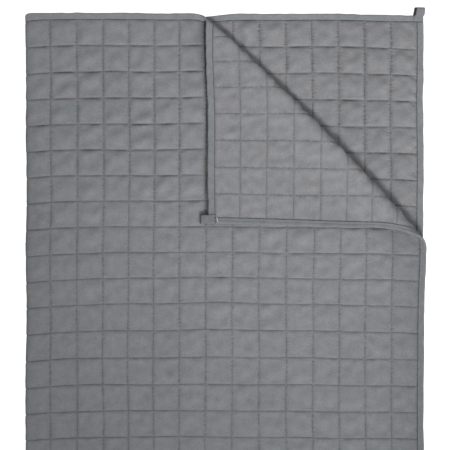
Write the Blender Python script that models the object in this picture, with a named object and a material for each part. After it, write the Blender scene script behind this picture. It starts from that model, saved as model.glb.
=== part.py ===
# Weighted blanket: quilted in squares, bound all round, folded in half along its length, with the
# upper layer's head corner turned back in a loose diagonal roll. Metres, +Z up, +Y to the head end.
#
# Every piece is first made flat, in pattern coordinates: across (0 on the fold, positive on the upper
# layer), along (0 at mid length, positive to the head) and lift (distance from the cloth's middle
# surface, positive on the outer face). It is then cut along the bend lines and laid in place.
import math
import random

import bmesh
import bpy
import numpy as np

# The cut cloth and its quilting
CLOTH_WIDTH = 1.5
CLOTH_LENGTH = 2.0
COLUMNS = 30
ROWS = 40
BINDING_WIDTH = 0.012
CROWN = 0.003            # half thickness in the middle of a filled square
SEAM = 0.0008            # half thickness along a seam and inside the binding
PILLOW_INSET = 0.012     # from a seam to the full part of its square
CROWN_SPREAD = 0.0005    # how much less than CROWN a thinly filled square may be
SEAM_DRIFT = 0.005       # the upper layer's seams lie this much nearer to the fold
DRIFT_FADE = 6           # columns at the open edge over which that fades away
EDGE_STRIP = 0.009       # plain cloth beyond the fold's seam, on the lower layer

# The lengthwise fold
LAYER_PITCH = 0.007      # between the middle surfaces of layers that lie on each other
FOLD_STEPS = 5
ROW_DROOP = 0.009        # how far the rows sag towards the foot at the fold
DROOP_REACH = 0.04
DROOP_FADE = 0.03        # from the head and foot edges, which stay straight

# The turned-back corner: a roll along a line from the head edge to the upper layer's open edge
ROLL_START = (-0.0369, 0.9943)   # x, y where the roll's outline leaves the head edge
ROLL_LENGTH = 0.598
ROLL_ANGLE = math.radians(-45.65)
ROLL_RADIUS_HEAD = 0.0055
ROLL_RADIUS_SIDE = 0.015
ROLL_BOW = 0.0085        # the outline bows out by this much half way
ROLL_TAIL = 0.0016       # and falls back by this much at the open edge
TAIL_SHARE = 0.19        # over this share of its length
DIVE_ANGLE = 0.42        # how steeply the flap sinks from the roll's fat end
REST_RADIUS = 0.06       # the soft bend where it comes to lie on the layer below
ROLL_MARGIN = 0.02       # cloth this far short of the roll's line may be cut for it
ROLL_SECTIONS = 4
ROLL_STEPS = 9
REST_STEPS = 3

# Unevenness of the edges
HEAD_BOW = 0.005         # the lower layer's head edge is bowed by this much
BOW_CENTRE = 0.15
BOW_SPAN = 0.42
BOW_FADE = 0.4           # from the head edge
BULGE = 0.006            # the roll pushes the upper layer's open edge out by this much
BULGE_CENTRE = 0.584
BULGE_REACH = 0.088
BULGE_POWER = 4          # of the distance from the fold
PULL = 0.0068            # and draws the turned-back part of that edge in by this much
PULL_CENTRE = 0.648
PULL_REACH = 0.054
PULL_POWER = 14

# Binding and corner loops
TAPE = 0.0008            # thickness of the binding and loop tape
TAPE_EDGE = 0.8 * TAPE   # how far its folded edge is cut back at the corners of its section
GAP = 0.0003             # between touching pieces
LOOP_WIDTH = 0.017
LOOP_REACH = 0.015       # how far a loop stands beyond the edge
LOOP_LEAN = 0.32         # sideways slant of the lower head loop

HALF_WIDTH = CLOTH_WIDTH / 2
HALF_LENGTH = CLOTH_LENGTH / 2
INNER_WIDTH = HALF_WIDTH - BINDING_WIDTH
INNER_LENGTH = HALF_LENGTH - BINDING_WIDTH
FOLD_RADIUS = LAYER_PITCH / 2
FOLD_REACH = FOLD_RADIUS * math.pi / 2
FOLD_X = -HALF_WIDTH / 2 + CROWN + FOLD_RADIUS
UPPER_Z = CROWN + LAYER_PITCH
BINDING_LIFT = SEAM + GAP
LOOP_LIFT = BINDING_LIFT + TAPE + GAP

ROLL_ALONG = np.array([math.cos(ROLL_ANGLE), math.sin(ROLL_ANGLE)])
ROLL_ACROSS = np.array([-math.sin(ROLL_ANGLE), math.cos(ROLL_ANGLE)])


def smooth_step(x):
    """0 below 0, 1 above 1, and a smooth rise between."""
    x = np.clip(x, 0.0, 1.0)
    return x * x * (3.0 - 2.0 * x)


# ---------------------------------------------------------------- laying the pattern

def lower_layer_bow(x, along):
    """How far the lower layer's head edge lies off a straight line, fading away from it."""
    arch = np.cos(np.clip((x - BOW_CENTRE) / BOW_SPAN, -1.0, 1.0) * math.pi)
    return HEAD_BOW * (arch - 1.0) / 2.0 * smooth_step((along - HALF_LENGTH) / BOW_FADE + 1.0)


def row_droop(across, along):
    """How far a row sags at the fold. The head and foot edges themselves stay straight."""
    from_end = np.maximum(HALF_LENGTH - np.abs(along), 0.0)
    inner = 1.0 - np.exp(-from_end / DROOP_FADE)
    return ROW_DROOP * np.exp(-np.abs(across) / DROOP_REACH) * inner


def edge_bulge(across, along):
    """How far the roll's fat end pushes the upper layer's open edge outwards, less its pull."""
    near_edge = np.clip(across / HALF_WIDTH, 0.0, 1.0)
    bulge = BULGE * near_edge ** BULGE_POWER * np.exp(-(((along - BULGE_CENTRE) / BULGE_REACH) ** 2))
    pull = PULL * near_edge ** PULL_POWER * np.exp(-(((along - PULL_CENTRE) / PULL_REACH) ** 2))
    return bulge - pull


def roll_shape(run):
    """At each distance along the roll: its radius, and where the cloth starts to turn."""
    share = np.clip(run / ROLL_LENGTH, 0.0, 1.0)
    radius = ROLL_RADIUS_HEAD + (ROLL_RADIUS_SIDE - ROLL_RADIUS_HEAD) * share
    outline = ROLL_BOW * 4.0 * share * (1.0 - share)
    outline = outline - ROLL_TAIL * smooth_step((share - 1.0 + TAIL_SHARE) / TAIL_SHARE)
    return radius, outline - radius


def roll_stages(radius):
    """The dive angle behind the roll, and the lengths of cloth in the turn, the dive and the rest."""
    spare = (2.0 * radius - LAYER_PITCH) / (2.0 * ROLL_RADIUS_SIDE - LAYER_PITCH)
    dive = DIVE_ANGLE * spare
    drop = radius * (1.0 + np.cos(dive)) - REST_RADIUS * (1.0 - np.cos(dive)) - LAYER_PITCH
    return dive, radius * (math.pi + dive), drop / np.sin(dive), REST_RADIUS * dive


def flat_place(across, along):
    """Where an upper-layer point would lie without the roll: run along it, and distance beyond it."""
    x = FOLD_X + across - FOLD_REACH + edge_bulge(across, along)
    run = (x - ROLL_START[0]) * ROLL_ALONG[0] + (along - ROLL_START[1]) * ROLL_ALONG[1]
    beyond = (x - ROLL_START[0]) * ROLL_ACROSS[0] + (along - ROLL_START[1]) * ROLL_ACROSS[1]
    return run, beyond


def roll_section(past, radius):
    """The roll's section: plan distance, height and slope angle, past metres of cloth beyond its start.

    The cloth turns over by a half turn and the dive angle, runs straight down at that angle, and
    bends back to lie level one layer pitch above the upper layer.
    """
    dive, turn_length, dive_length, rest_length = roll_stages(radius)
    full_turn = math.pi + dive
    turned = np.clip(past, 0.0, turn_length) / radius
    straight = np.clip(past - turn_length, 0.0, dive_length)
    easing = np.clip(past - turn_length - dive_length, 0.0, rest_length) / REST_RADIUS
    level = np.maximum(past - turn_length - dive_length - rest_length, 0.0)
    plan = radius * np.sin(turned) + straight * np.cos(full_turn)
    plan += REST_RADIUS * (np.sin(full_turn) - np.sin(full_turn - easing)) - level
    height = radius * (1.0 - np.cos(turned)) + straight * np.sin(full_turn)
    height += REST_RADIUS * (np.cos(full_turn - easing) - np.cos(full_turn))
    return plan, height, turned - easing


def lay(points):
    """Pattern points, one row each of across, along and lift, as the folded blanket's x, y, z."""
    across, along, lift = points.T
    y = along - row_droop(across, along)

    # the lengthwise fold
    turn = np.clip(across / FOLD_RADIUS, -math.pi / 2, math.pi / 2)
    reach = np.maximum(np.abs(across) - FOLD_REACH, 0.0)
    x = FOLD_X - (FOLD_RADIUS + lift) * np.cos(turn) + reach
    z = CROWN + FOLD_RADIUS + (FOLD_RADIUS + lift) * np.sin(turn)
    y = y + np.where(across < 0.0, lower_layer_bow(x, along), 0.0)
    x = x + edge_bulge(across, along)

    # the turned-back corner
    run, beyond = flat_place(across, y)
    radius, start = roll_shape(run)
    past = beyond - start
    plan, height, slope = roll_section(past, radius)
    aside = start + plan - lift * np.sin(slope)
    rolled = (across > 0.0) & (past > 0.0)
    x = np.where(rolled, ROLL_START[0] + run * ROLL_ALONG[0] + aside * ROLL_ACROSS[0], x)
    y = np.where(rolled, ROLL_START[1] + run * ROLL_ALONG[1] + aside * ROLL_ACROSS[1], y)
    z = np.where(rolled, UPPER_Z + height + lift * np.cos(slope), z)
    return np.column_stack([x, y, z])


def cut_across(bm, place, normal, faces=None):
    """Cut the faces, or all of them, where they cross the plane, so that the sheet can bend there."""
    faces = bm.faces[:] if faces is None else faces
    geometry = dict.fromkeys(faces)
    geometry.update(dict.fromkeys(edge for face in faces for edge in face.edges))
    geometry.update(dict.fromkeys(vert for face in faces for vert in face.verts))
    bmesh.ops.bisect_plane(bm, geom=list(geometry), dist=1e-5, plane_co=place, plane_no=normal)


def pattern_place(run, beyond):
    """The upper layer's pattern point that flat_place puts at this run and distance beyond."""
    x = ROLL_START[0] + run * ROLL_ALONG[0] + beyond * ROLL_ACROSS[0]
    along = ROLL_START[1] + run * ROLL_ALONG[1] + beyond * ROLL_ACROSS[1]
    return np.array([x - FOLD_X + FOLD_REACH, along, 0.0])


def bend_marks(run):
    """Where the roll's bend lines lie at this run, as distances beyond its outline's straight line."""
    radius, start = roll_shape(run)
    _, turn_length, dive_length, rest_length = roll_stages(radius)
    turn = start + turn_length * np.linspace(0.0, 1.0, ROLL_STEPS + 1)
    rest = start + turn_length + dive_length + rest_length * np.linspace(0.0, 1.0, REST_STEPS + 1)
    return [*turn, *rest]


def roll_cuts(bm):
    """Cut the turned-back corner along its bend lines, which are straight within each section."""
    def near_roll(face):
        upper = [vert.co for vert in face.verts if vert.co.x > 0.0]
        return any(flat_place(place.x, place.y)[1] > -ROLL_MARGIN for place in upper)

    runs = np.linspace(0.0, ROLL_LENGTH, ROLL_SECTIONS + 1)
    for run in runs[1:-1]:
        faces = [face for face in bm.faces if near_roll(face)]
        cut_across(bm, pattern_place(run, 0.0), (*ROLL_ALONG, 0.0), faces)
    for low, high in zip(runs, runs[1:]):
        first = low if low > 0.0 else -1.0
        last = high if high < ROLL_LENGTH else 1.0
        for mark_low, mark_high in zip(bend_marks(low), bend_marks(high)):
            here = pattern_place(low, mark_low)
            there = pattern_place(high, mark_high)
            faces = []
            for face in bm.faces:
                middle = face.calc_center_median()
                if near_roll(face) and first < flat_place(middle.x, middle.y)[0] < last:
                    faces.append(face)
            if faces:
                cut_across(bm, here, (here[1] - there[1], there[0] - here[0], 0.0), faces)


def bend_and_lay(bm):
    """Cut a flat piece along the bend lines that it crosses, then lay it."""
    for step in range(FOLD_STEPS + 1):
        line = -FOLD_REACH + 2.0 * FOLD_REACH * step / FOLD_STEPS
        cut_across(bm, (line, 0, 0), (1, 0, 0))
    roll_cuts(bm)
    placed = lay(np.array([vert.co[:] for vert in bm.verts]))
    for vert, place in zip(bm.verts, placed):
        vert.co = place
    bm.normal_update()


# ---------------------------------------------------------------- pieces

def make_object(name, bm, material):
    """Turn a finished bmesh into a named object with its material."""
    bmesh.ops.recalc_face_normals(bm, faces=bm.faces[:])
    mesh = bpy.data.meshes.new(name)
    bm.to_mesh(mesh)
    bm.free()
    mesh.materials.append(material)
    piece = bpy.data.objects.new(name, mesh)
    bpy.context.scene.collection.objects.link(piece)
    return piece


def column_lines():
    """The seams that run from head to foot, as across values from the lower layer to the upper."""
    pitch = INNER_WIDTH / (COLUMNS / 2)
    lines = []
    for column in range(-COLUMNS // 2, COLUMNS // 2 + 1):
        drift = SEAM_DRIFT * min(1.0, (COLUMNS / 2 - column) / DRIFT_FADE) if column >= 0 else 0.0
        lines.append(pitch * column - drift)
    return lines


def row_lines():
    """The seams that run across, as along values from the foot to the head."""
    pitch = 2.0 * INNER_LENGTH / ROWS
    return [pitch * row - INNER_LENGTH for row in range(ROWS + 1)]


def shows(across, along, outer):
    """Whether the square whose low corner and size are given shows on its outer or its inner face."""
    pitch = CLOTH_WIDTH / COLUMNS
    if across >= -SEAM_DRIFT:
        run, beyond = flat_place(across + pitch, along + pitch)
        turned = beyond > roll_shape(run)[1]
        if not outer:
            return bool(turned)
        flap_corner = lay(np.array([[HALF_WIDTH, HALF_LENGTH, 0.0]]))[0]
        x = FOLD_X + across - FOLD_REACH
        return bool(x < flap_corner[0] or along < flap_corner[1])
    if outer:
        return False
    return bool(flat_place(-across, along + pitch)[1] > 0.0)


def quilted_face(bm, grid, across_lines, along_lines, outer, chance):
    """One face of the cloth: raised pillows where it shows, plain where it doesn't."""
    side = 1.0 if outer else -1.0
    plain = []
    last_column = len(across_lines) - 2
    last_row = len(along_lines) - 2
    for i in range(last_column + 1):
        for j in range(last_row + 1):
            corners = [grid[i][j], grid[i + 1][j], grid[i + 1][j + 1], grid[i][j + 1]]
            low = (across_lines[i], along_lines[j])
            high = (across_lines[i + 1], along_lines[j + 1])
            rim = i in (0, last_column) or j in (0, last_row)
            narrow = high[0] - low[0] < 3.0 * PILLOW_INSET
            if rim or narrow or not shows(*low, outer):
                face = bm.faces.new(corners)
                if not rim:
                    plain.append(face)
                continue
            level = side * (CROWN - CROWN_SPREAD * chance.random())
            inner = []
            for corner_x, corner_y in ((0, 0), (1, 0), (1, 1), (0, 1)):
                x = high[0] - PILLOW_INSET if corner_x else low[0] + PILLOW_INSET
                y = high[1] - PILLOW_INSET if corner_y else low[1] + PILLOW_INSET
                inner.append(bm.verts.new((x, y, level)))
            bm.faces.new(inner)
            for k in range(4):
                n = (k + 1) % 4
                bm.faces.new([corners[k], corners[n], inner[n], inner[k]])
    return plain


def quilted_cloth(material):
    """The whole quilted cloth, one closed solid."""
    chance = random.Random(11)
    rim = BINDING_WIDTH - TAPE - 2.0 * GAP
    columns = column_lines()
    fold = COLUMNS // 2
    across_lines = columns[:fold] + [columns[fold] - EDGE_STRIP] + columns[fold:]
    across_lines = [across_lines[0] - rim] + across_lines + [across_lines[-1] + rim]
    along_lines = row_lines()
    along_lines = [along_lines[0] - rim] + along_lines + [along_lines[-1] + rim]

    bm = bmesh.new()
    grids = []
    for outer in (True, False):
        side = 1.0 if outer else -1.0
        grid = []
        for i, across in enumerate(across_lines):
            column = []
            for j, along in enumerate(along_lines):
                edge = i < 2 or j < 2 or i > len(across_lines) - 3 or j > len(along_lines) - 3
                touching = [
                    shows(across_lines[i + a], along_lines[j + b], outer)
                    for a in (-1, 0) for b in (-1, 0)
                    if 1 <= i + a < len(across_lines) - 2 and 1 <= j + b < len(along_lines) - 2
                ]
                lift = SEAM if edge or any(touching) else CROWN
                column.append(bm.verts.new((across, along, side * lift)))
            grid.append(column)
        grids.append(grid)
        plain = quilted_face(bm, grid, across_lines, along_lines, outer, chance)
        bmesh.ops.recalc_face_normals(bm, faces=bm.faces[:])
        level = [f for f in plain if all(abs(abs(v.co.z) - CROWN) < 1e-9 for v in f.verts)]
        bmesh.ops.dissolve_faces(bm, faces=level, use_verts=True)

    outer_grid, inner_grid = grids
    ring = [(i, 0) for i in range(len(across_lines) - 1)]
    ring += [(len(across_lines) - 1, j) for j in range(len(along_lines) - 1)]
    ring += [(i, len(along_lines) - 1) for i in range(len(across_lines) - 1, 0, -1)]
    ring += [(0, j) for j in range(len(along_lines) - 1, 0, -1)]
    for (i, j), (k, m) in zip(ring, ring[1:] + ring[:1]):
        bm.faces.new([outer_grid[i][j], outer_grid[k][m], inner_grid[k][m], inner_grid[i][j]])

    bend_and_lay(bm)
    return make_object("quilted_cloth", bm, material)


def extruded(section, stations):
    """A closed bmesh: the section (out, lift) carried along the stations.

    Each station is a function from a section point to a pattern point.
    """
    bm = bmesh.new()
    loops = [[bm.verts.new(station(*point)) for point in section] for station in stations]
    count = len(section)
    for here, there in zip(loops, loops[1:]):
        for k in range(count):
            n = (k + 1) % count
            bm.faces.new([here[k], here[n], there[n], there[k]])
    bm.faces.new(loops[0][::-1])
    bm.faces.new(loops[-1])
    return bm


def binding_section():
    """A flat tape folded over the edge. out is 0 at the seam and BINDING_WIDTH at the outer edge."""
    inside = BINDING_LIFT
    outside = BINDING_LIFT + TAPE
    wall = BINDING_WIDTH - TAPE
    return [
        (GAP, inside), (wall, inside), (wall, -inside), (GAP, -inside),
        (GAP, -outside), (BINDING_WIDTH - TAPE_EDGE, -outside), (BINDING_WIDTH, -outside + TAPE_EDGE),
        (BINDING_WIDTH, outside - TAPE_EDGE), (BINDING_WIDTH - TAPE_EDGE, outside), (GAP, outside),
    ]


def binding(name, material, end=0, side=0):
    """A length of binding, along the head (end 1), the foot (end -1), or a side (1 upper, -1 lower)."""
    stations = []
    if end:
        for across in [-HALF_WIDTH, *column_lines(), HALF_WIDTH]:
            stations.append(lambda out, lift, a=across: (a, end * (INNER_LENGTH + out), lift))
    else:
        reach = INNER_LENGTH - GAP
        for along in [-reach, *row_lines()[1:-1], reach]:
            stations.append(lambda out, lift, a=along: (side * (INNER_WIDTH + out), a, lift))
    bm = extruded(binding_section(), stations)
    bend_and_lay(bm)
    return make_object(name, bm, material)


def loop_section():
    """A tape doubled round. out is 0 at the seam, and its two ends clasp the binding."""
    inside = LOOP_LIFT
    outside = LOOP_LIFT + TAPE
    tip = BINDING_WIDTH + LOOP_REACH
    return [
        (GAP, inside), (tip - TAPE, inside), (tip - TAPE, -inside), (GAP, -inside),
        (GAP, -outside), (tip - TAPE_EDGE, -outside), (tip, -outside + TAPE_EDGE),
        (tip, outside - TAPE_EDGE), (tip - TAPE_EDGE, outside), (GAP, outside),
    ]


def corner_loop(name, material, side, end, lean=0.0):
    """The loop at one corner of the flat pattern, standing out beyond the head or foot edge."""
    stations = []
    for inset in (LOOP_WIDTH + TAPE, TAPE):
        def station(out, lift, place=side * (HALF_WIDTH - inset)):
            slant = lean * max(out - BINDING_WIDTH, 0.0)
            return place - slant, end * (INNER_LENGTH + out), lift
        stations.append(station)
    bm = extruded(loop_section(), stations)
    cut_across(bm, (0, end * HALF_LENGTH, 0), (0, 1, 0))
    bend_and_lay(bm)
    return make_object(name, bm, material)


def fabric(name, colour, roughness):
    """A plain cloth finish."""
    material = bpy.data.materials.new(name)
    material.use_nodes = True
    shader = material.node_tree.nodes["Principled BSDF"]
    shader.inputs["Base Color"].default_value = (*colour, 1.0)
    shader.inputs["Roughness"].default_value = roughness
    shader.inputs["Metallic"].default_value = 0.0
    return material


def main():
    for leftover in list(bpy.data.objects):
        bpy.data.objects.remove(leftover)
    cotton = fabric("grey_cotton", (0.20, 0.21, 0.22), 0.9)
    tape = fabric("grey_tape", (0.21, 0.22, 0.23), 0.85)
    quilted_cloth(cotton)
    binding("binding_head", tape, end=1)
    binding("binding_foot", tape, end=-1)
    binding("binding_side_upper", tape, side=1)
    binding("binding_side_lower", tape, side=-1)
    corner_loop("loop_head_lower", tape, side=-1, end=1, lean=LOOP_LEAN)
    corner_loop("loop_head_upper", tape, side=1, end=1)
    corner_loop("loop_foot_lower", tape, side=-1, end=-1)
    corner_loop("loop_foot_upper", tape, side=1, end=-1)


main()
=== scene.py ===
# The looks of the folded weighted blanket: quilted cotton, flat binding, corner loops and stitching.
# A piece is worked out flat, in pattern coordinates (across from the fold, along the length, lift
# off the cloth's middle surface), and then laid in the folded blanket's shape. Lengths are metres.
import math

import bmesh
import bpy
import numpy as np
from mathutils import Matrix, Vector


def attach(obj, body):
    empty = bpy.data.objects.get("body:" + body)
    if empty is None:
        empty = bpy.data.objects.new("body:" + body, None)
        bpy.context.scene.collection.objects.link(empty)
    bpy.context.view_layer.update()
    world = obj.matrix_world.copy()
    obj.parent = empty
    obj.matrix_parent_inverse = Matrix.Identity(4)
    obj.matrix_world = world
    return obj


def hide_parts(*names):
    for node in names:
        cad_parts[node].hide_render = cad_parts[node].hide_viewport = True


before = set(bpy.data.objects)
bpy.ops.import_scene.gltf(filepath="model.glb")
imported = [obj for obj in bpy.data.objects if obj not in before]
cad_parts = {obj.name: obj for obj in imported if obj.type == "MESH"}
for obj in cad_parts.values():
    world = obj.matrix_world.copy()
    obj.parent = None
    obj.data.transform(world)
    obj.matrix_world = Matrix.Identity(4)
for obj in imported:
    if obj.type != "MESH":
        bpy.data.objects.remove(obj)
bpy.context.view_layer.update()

cloth = {                      # as cut and quilted
    "width": 1.5,
    "length": 2.0,
    "columns": 30,
    "rows": 40,
    "edge": 0.012,             # width of the binding
    "crown": 0.003,            # half thickness in the middle of a square
    "seam": 0.0008,            # half thickness at a seam
    "seamDrift": 0.005,        # the upper layer's seams lie nearer to the fold by this,
    "driftColumns": 6,         # less so in the last columns before the open side
    "gap": 0.0003,             # between one sewn piece and the next
    "tape": 0.0008,            # thickness of the binding and the loops
}
fold = {
    "pitch": 0.007,            # between the middle surfaces of the two layers
    "droop": 0.009,            # how far the rows sag in the fold
    "droopReach": 0.04,        # from the fold
    "droopFade": 0.03,         # from the two ends
}
roll = {
    "start": (-0.0369, 0.9943),        # x and y of its thin end
    "length": 0.598,
    "angle": -45.65,           # of its line, in degrees
    "radiusHead": 0.0055,
    "radiusSide": 0.015,
    "bow": 0.0085,             # how far its outline bows out,
    "tail": 0.0016,            # and falls back towards the fat end
    "tailShare": 0.19,
    "dive": 0.42,              # how steeply the flap comes down from it, in radians
    "restRadius": 0.06,        # of the arc in which it comes level
}
edges = {                      # how the open edges bend; an At is a place along the edge and a reach
    "headBow": 0.005, "bowCentre": 0.15, "bowSpan": 0.42, "bowFade": 0.4,
    "bulge": 0.006, "bulgeAt": (0.584, 0.088), "bulgePower": 4,
    "pull": 0.0068, "pullAt": (0.648, 0.054), "pullPower": 14,
    "flapPull": 0.0050, "flapPullRamp": 0.012, "flapPullReach": 0.075, "flapPullFade": 0.2,
}
halfWidth = cloth["width"] / 2
halfLength = cloth["length"] / 2
innerWidth = halfWidth - cloth["edge"]
innerLength = halfLength - cloth["edge"]
rimWidth = cloth["edge"] - cloth["tape"] - 2 * cloth["gap"]
tapeInside = cloth["seam"] + cloth["gap"]
tapeOutside = tapeInside + cloth["tape"]
cellWidth = innerWidth / (cloth["columns"] / 2)
cellLength = 2 * innerLength / cloth["rows"]
foldRadius = fold["pitch"] / 2
foldReach = foldRadius * math.pi / 2
foldX = -halfWidth / 2 + cloth["crown"] + foldRadius
rollAngle = math.radians(roll["angle"])
rollAlong = (math.cos(rollAngle), math.sin(rollAngle))
rollAcross = (-math.sin(rollAngle), math.cos(rollAngle))


def smoothStep(x):
    # 0 below 0, 1 above 1, and x squared times (3 - 2x) between
    x = np.clip(x, 0.0, 1.0)
    return x * x * (3.0 - 2.0 * x)


def rising(x, start, full):
    # the smooth step from 0 at the start to 1 at the full place, which may lie below it
    return smoothStep((x - start) / (full - start))


def bell(x, centre, reach):
    # the exponential of minus the squared distance from the centre
    return np.exp(-(((x - centre) / reach) ** 2))


def fading(distance, reach):
    # the exponential of minus the distance over the reach
    return np.exp(-distance / reach)


def growing(distance, reach):
    # 1 less that exponential
    return 1.0 - np.exp(-distance / reach)


def nearHead(along, reach):
    # a smooth step up to the head edge
    return smoothStep((along - halfLength) / reach + 1.0)


def lowerBow(x, along):
    # half a cosine arch along the head edge, fading out towards the foot
    arch = np.cos(np.clip((x - edges["bowCentre"]) / edges["bowSpan"], -1.0, 1.0) * math.pi)
    return edges["headBow"] * (arch - 1.0) / 2.0 * nearHead(along, edges["bowFade"])


def rowDroop(across, along):
    # rows sag by an exponential of the distance from the fold, and not at all at the two ends
    inner = growing(np.maximum(halfLength - np.abs(along), 0.0), fold["droopFade"])
    return fold["droop"] * fading(np.abs(across), fold["droopReach"]) * inner


def edgeBulge(across, along):
    # a bell curve out along the upper layer's open edge, at the roll's fat end, less another
    # beyond it; both fade towards the fold as a power of the distance from it
    nearEdge = np.clip(across / halfWidth, 0.0, 1.0)
    out = edges["bulge"] * nearEdge ** edges["bulgePower"] * bell(along, *edges["bulgeAt"])
    return out - edges["pull"] * nearEdge ** edges["pullPower"] * bell(along, *edges["pullAt"])


def flapPull(x, along):
    # the flap's head edge is drawn in where it leaves the roll, less so as an exponential further on
    away = np.maximum(x - roll["start"][0], 0.0)
    pull = smoothStep(away / edges["flapPullRamp"]) * fading(away, edges["flapPullReach"])
    return edges["flapPull"] * pull * nearHead(along, edges["flapPullFade"])


def rollShape(run):
    # the radius grows evenly along the roll; its outline is a parabola with a tail that falls back
    share = np.clip(run / roll["length"], 0.0, 1.0)
    radius = roll["radiusHead"] + (roll["radiusSide"] - roll["radiusHead"]) * share
    outline = roll["bow"] * 4.0 * share * (1.0 - share)
    outline = outline - roll["tail"] * smoothStep((share - 1.0 + roll["tailShare"]) / roll["tailShare"])
    return radius, outline - radius


def flatPlace(across, along):
    # the unrolled plan position, turned into distance along the roll's line and distance beyond it
    x = foldX + across - foldReach + edgeBulge(across, along) - roll["start"][0]
    y = along - roll["start"][1]
    return x * rollAlong[0] + y * rollAlong[1], x * rollAcross[0] + y * rollAcross[1]


def rollSection(past, radius):
    # half a circle and a little more, a straight dive, and an arc that comes level again
    spare = (2.0 * radius - fold["pitch"]) / (2.0 * roll["radiusSide"] - fold["pitch"])
    dive = roll["dive"] * spare
    rest = roll["restRadius"]
    fullTurn = math.pi + dive
    drop = radius * (1.0 + np.cos(dive)) - rest * (1.0 - np.cos(dive)) - fold["pitch"]
    diveLength = drop / np.sin(dive)
    turned = np.clip(past, 0.0, radius * fullTurn) / radius
    straight = np.clip(past - radius * fullTurn, 0.0, diveLength)
    afterDive = past - radius * fullTurn - diveLength
    easing = np.clip(afterDive, 0.0, rest * dive) / rest
    level = np.maximum(afterDive - rest * dive, 0.0)
    plan = radius * np.sin(turned) + straight * np.cos(fullTurn) - level
    plan = plan + rest * (np.sin(fullTurn) - np.sin(fullTurn - easing))
    height = radius * (1.0 - np.cos(turned)) + straight * np.sin(fullTurn)
    height = height + rest * (np.cos(fullTurn - easing) - np.cos(fullTurn))
    return plan, height, turned - easing


def layFlat(across, along, lift):
    # pattern points to the folded blanket: the lengthwise fold first, then the turned-back corner
    y = along - rowDroop(across, along)
    turn = np.clip(across / foldRadius, -math.pi / 2, math.pi / 2)
    x = foldX - (foldRadius + lift) * np.cos(turn) + np.maximum(np.abs(across) - foldReach, 0.0)
    z = cloth["crown"] + foldRadius + (foldRadius + lift) * np.sin(turn)
    y = y + np.where(across < 0.0, lowerBow(x, along), 0.0)
    x = x + edgeBulge(across, along)

    run, beyond = flatPlace(across, y - np.where(across > 0.0, flapPull(x, along), 0.0))
    radius, start = rollShape(run)
    plan, height, slope = rollSection(beyond - start, radius)
    aside = start + plan - lift * np.sin(slope)
    rolled = (across > 0.0) & (beyond > start)
    x = np.where(rolled, roll["start"][0] + run * rollAlong[0] + aside * rollAcross[0], x)
    y = np.where(rolled, roll["start"][1] + run * rollAlong[1] + aside * rollAcross[1], y)
    upper = cloth["crown"] + fold["pitch"]
    z = np.where(rolled, upper + height + lift * np.cos(slope), z)
    return settle(np.stack([x, y, z], axis=-1))


def ripples(x, y, seed, shortest, longest, count=14, lean=0.0, spread=math.pi):
    # a sum of plane sine waves, whose lengths and directions are drawn once from the seed
    chance = np.random.default_rng(seed)
    waveLengths = chance.uniform(shortest, longest, count)
    directions = lean + chance.uniform(-spread / 2, spread / 2, count)
    phases = chance.uniform(0.0, 2.0 * math.pi, count)
    total = np.zeros(np.broadcast(x, y).shape)
    for waveLength, direction, phase in zip(waveLengths, directions, phases):
        way = x * math.cos(direction) + y * math.sin(direction)
        total += np.sin(way * 2 * math.pi / waveLength + phase)
    return total / math.sqrt(count / 2)


settling = {
    "sideways": 0.0006,        # size of the slow waves in plan
    "swell": 0.0007,           # and in height
    "seed": 3,
    "waves": (0.16, 0.42, 8),  # the shortest, the longest and their number
    "swellWaves": (0.16, 0.42, 10),
    "swellFrom": (0.004, 0.016),       # nothing swells at the first height, and all at the second
    "dip": 0.0042,             # the head edge is drawn in where the roll leaves it
    "dipLeft": 0.012,
    "dipRight": 0.036,
    "dipLong": 0.07,
    "corner": 0.0045,          # and the folded corner is rounded off
    "cornerReach": 0.0055,
}


def settle(points):
    # slow waves in plan, the same for every layer, and in height, growing from nothing at the floor;
    # a bell-shaped dip in the head edge at the roll's thin end, and an exponential at the corner
    x, y, z = points[..., 0], points[..., 1], points[..., 2]
    fromStart = x - roll["start"][0]
    dipReach = np.where(fromStart < 0.0, settling["dipLeft"], settling["dipRight"])
    dip = settling["dip"] * bell(fromStart, 0.0, dipReach)
    dip = dip + settling["corner"] * fading(x + halfWidth / 2, settling["cornerReach"])
    dip = dip * nearHead(y, settling["dipLong"])
    rise = rising(z, *settling["swellFrom"])
    moved = points.copy()
    seed = settling["seed"]
    moved[..., 0] += settling["sideways"] * ripples(x, y, seed, *settling["waves"])
    moved[..., 1] += settling["sideways"] * ripples(x, y, seed + 1, *settling["waves"]) - dip
    moved[..., 2] += settling["swell"] * ripples(x, y, seed + 2, *settling["swellWaves"]) * rise
    moved[..., 2] = np.maximum(moved[..., 2], 0.0)
    return moved


# seams in pattern coordinates; a column or row number one past the last stands for the rim
columnNumbers = np.arange(-1, cloth["columns"] + 2)
rowNumbers = np.arange(-1, cloth["rows"] + 2)
foldColumn = cloth["columns"] // 2
columnSeams = cellWidth * (columnNumbers - foldColumn)
drift = cloth["seamDrift"] * np.clip((cloth["columns"] - columnNumbers) / cloth["driftColumns"], 0.0, 1.0)
columnSeams = columnSeams - np.where(columnNumbers >= foldColumn, drift, 0.0)
columnSeams[0] = -innerWidth - rimWidth
columnSeams[-1] = innerWidth + rimWidth
rowSeams = cellLength * rowNumbers - innerLength
rowSeams[0] = -innerLength - rimWidth
rowSeams[-1] = innerLength + rimWidth

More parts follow.
